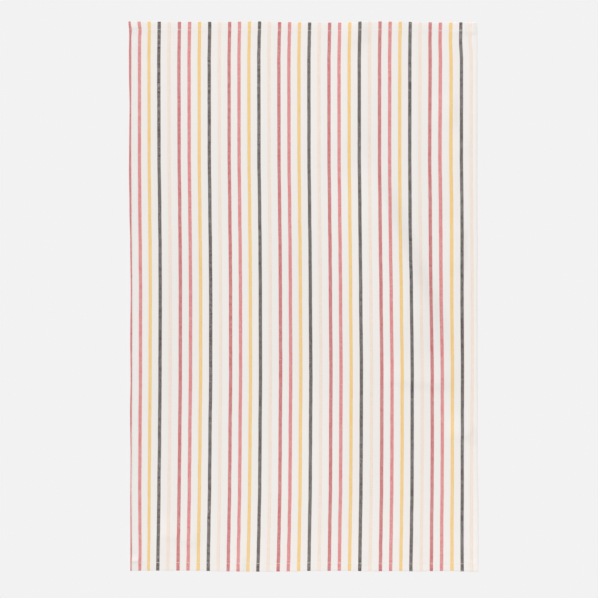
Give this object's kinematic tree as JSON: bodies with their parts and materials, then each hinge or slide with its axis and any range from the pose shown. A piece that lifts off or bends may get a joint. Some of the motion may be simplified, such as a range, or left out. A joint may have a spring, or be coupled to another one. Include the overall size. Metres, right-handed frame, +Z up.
{
  "type": "tea towel",
  "caption": "Flat hemmed cotton tea towel with fine lengthwise stripes, laid out face up, for drying dishes and hands.",
  "frame": {"origin": "on the surface the towel rests on, under the middle of its outline", "axes": "+X across the stripes, +Y along the stripes and the length, +Z up out of the face"},
  "size_m": [0.4528, 0.7122, 0.0055],
  "materials": {
    "cotton": "matte plain weave, off-white ground with fine coloured warp stripes, white sewing thread"
  },
  "bodies": {
    "root": {"towel": "cotton"}
  },
  "joints": []
}
